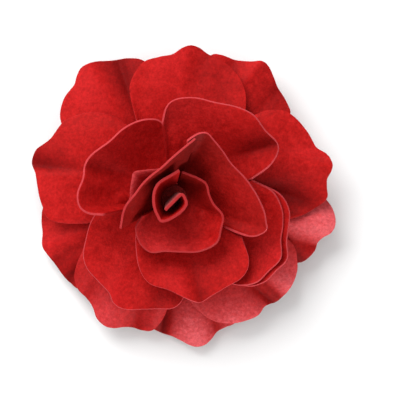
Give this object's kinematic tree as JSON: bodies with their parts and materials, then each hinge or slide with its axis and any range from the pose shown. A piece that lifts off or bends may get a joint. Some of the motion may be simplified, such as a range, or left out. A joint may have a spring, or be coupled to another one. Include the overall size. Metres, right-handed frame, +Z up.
{
  "type": "flower hair clip",
  "caption": "Full-blown rose of overlapping leather petals glued to a sprung metal alligator hair clip that opens on a hinge pin.",
  "frame": {"origin": "on the flat underside of the clip's lower jaw, on the flower's vertical axis through its bud", "axes": "+Z up out of the flower, +X along the clip from its beak to its finger tails, +Y across the clip"},
  "size_m": [0.0996, 0.0991, 0.0434],
  "materials": {
    "petal_leather": "soft satin dyed vegetable-tanned leather, lighter raw cut edges",
    "backing_leather": "matte suede side",
    "felt": "matte felt",
    "clip_steel": "nickel-plated spring steel sheet",
    "spring_steel": "bright drawn wire"
  },
  "bodies": {
    "flower": {"outer_petal_1": "petal_leather", "outer_petal_2": "petal_leather", "outer_petal_3": "petal_leather", "outer_petal_4": "petal_leather", "outer_petal_5": "petal_leather", "second_petal_1": "petal_leather", "second_petal_2": "petal_leather", "second_petal_3": "petal_leather", "second_petal_4": "petal_leather", "second_petal_5": "petal_leather", "middle_petal_1": "petal_leather", "middle_petal_2": "petal_leather", "middle_petal_3": "petal_leather", "middle_petal_4": "petal_leather", "middle_petal_5": "petal_leather", "middle_petal_6": "petal_leather", "inner_petal_1": "petal_leather", "inner_petal_2": "petal_leather", "inner_petal_3": "petal_leather", "bud_petal": "petal_leather", "bud_roll": "petal_leather", "bud_core": "backing_leather", "base_disc": "backing_leather", "felt_cover": "felt", "clip_upper_arm": "clip_steel", "hinge_pin": "clip_steel", "torsion_spring": "spring_steel"},
    "lower_jaw": {"clip_lower_jaw": "clip_steel"}
  },
  "joints": [
    {"name": "jaw_hinge", "type": "hinge", "parent": "flower", "child": "lower_jaw", "pos_m": [0.012, 0, 0.0032], "axis": [0, -1, 0], "range_deg": [0, 24], "stiffness_Nm_per_rad": 0.03, "springref_deg": -68.75, "deforming": ["torsion_spring"]}
  ]
}
